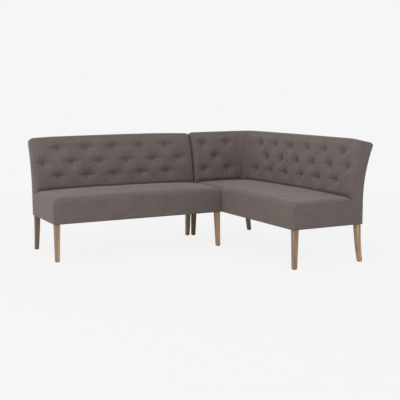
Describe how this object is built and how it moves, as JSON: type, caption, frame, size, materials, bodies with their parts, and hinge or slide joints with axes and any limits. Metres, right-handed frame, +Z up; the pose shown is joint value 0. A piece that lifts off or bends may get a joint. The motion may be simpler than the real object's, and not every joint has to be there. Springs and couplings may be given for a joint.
{
  "type": "upholstered banquette bench",
  "caption": "Corner banquette of two upholstered bench modules with curved button-tufted backs that meet in a mitre, on short tapered square wooden legs.",
  "frame": {"origin": "centre of the bounding box on the floor, under the seats' inner corner", "axes": "+X along the straight bench towards the corner, +Y from its front edge to its rear, +Z up from the floor"},
  "size_m": [2.0884, 1.7378, 0.9],
  "materials": {
    "taupe_cloth": "fine melange weave",
    "cushion_foam": "open-cell foam",
    "jute_webbing": "woven strap",
    "black_cloth": "non-woven",
    "limed_oak": "matt limed",
    "frame_timber": "sawn",
    "zinc_steel": "zinc plated",
    "glide_plastic": "matt"
  },
  "bodies": {
    "root": {"bench_back_buttons": "taupe_cloth", "bench_back_foam": "cushion_foam", "bench_back_outside_cover": "taupe_cloth", "bench_back_posts": "frame_timber", "bench_back_rails": "frame_timber", "bench_back_tufted_cover": "taupe_cloth", "bench_back_webbing": "jute_webbing", "bench_cross_rails": "frame_timber", "bench_dust_cover": "black_cloth", "bench_end_panels": "taupe_cloth", "bench_end_rails": "frame_timber", "bench_frame_blocks": "frame_timber", "bench_front_left_leg": "limed_oak", "bench_front_rail": "frame_timber", "bench_front_right_leg": "limed_oak", "bench_glides": "glide_plastic", "bench_leg_bolts": "zinc_steel", "bench_rear_left_leg": "limed_oak", "bench_rear_rail": "frame_timber", "bench_rear_right_leg": "limed_oak", "bench_seat_cover": "taupe_cloth", "bench_seat_foam": "cushion_foam", "bench_seat_webbing": "jute_webbing", "corner_cross_rails": "frame_timber", "corner_dust_cover": "black_cloth", "corner_end_rails": "frame_timber", "corner_frame_blocks": "frame_timber", "corner_front_left_leg": "limed_oak", "corner_front_rail": "frame_timber", "corner_front_right_leg": "limed_oak", "corner_glides": "glide_plastic", "corner_joint_panel": "taupe_cloth", "corner_leg_bolts": "zinc_steel", "corner_long_back_buttons": "taupe_cloth", "corner_long_back_foam": "cushion_foam", "corner_long_back_outside_cover": "taupe_cloth", "corner_long_back_posts": "frame_timber", "corner_long_back_rails": "frame_timber", "corner_long_back_tufted_cover": "taupe_cloth", "corner_long_back_webbing": "jute_webbing", "corner_near_panel": "taupe_cloth", "corner_rear_left_leg": "limed_oak", "corner_rear_rail": "frame_timber", "corner_rear_right_leg": "limed_oak", "corner_seat_cover": "taupe_cloth", "corner_seat_foam": "cushion_foam", "corner_seat_webbing": "jute_webbing", "corner_short_back_buttons": "taupe_cloth", "corner_short_back_foam": "cushion_foam", "corner_short_back_outside_cover": "taupe_cloth", "corner_short_back_posts": "frame_timber", "corner_short_back_rails": "frame_timber", "corner_short_back_tufted_cover": "taupe_cloth", "corner_short_back_webbing": "jute_webbing", "joint_plates": "zinc_steel", "joint_screws": "zinc_steel"}
  },
  "joints": []
}
